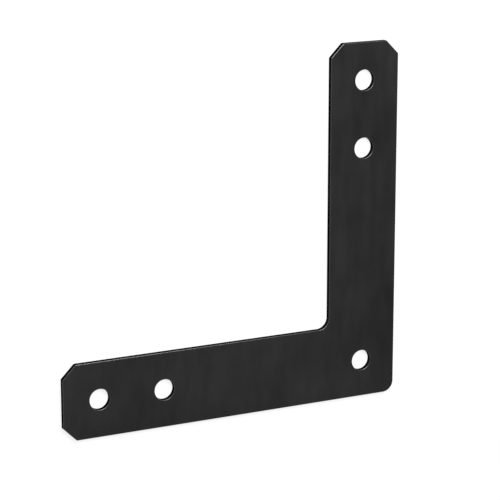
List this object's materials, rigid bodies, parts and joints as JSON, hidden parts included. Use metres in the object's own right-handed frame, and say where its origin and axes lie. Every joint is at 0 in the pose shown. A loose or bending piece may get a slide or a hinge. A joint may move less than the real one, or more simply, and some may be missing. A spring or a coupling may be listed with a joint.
{
  "type": "flat corner brace",
  "caption": "Flat L-shaped steel brace with equal legs, clipped corners and round bolt holes, for tying a timber corner joint.",
  "frame": {"origin": "on the axis of the corner hole, in the plane of the back face", "axes": "+Z out of the front face, the foot leg runs along -X and the upright leg along +Y"},
  "size_m": [0.3049, 0.3049, 0.0046],
  "materials": {
    "coated_steel": "matte black powder coat"
  },
  "bodies": {
    "root": {"corner_brace": "coated_steel"}
  },
  "joints": []
}
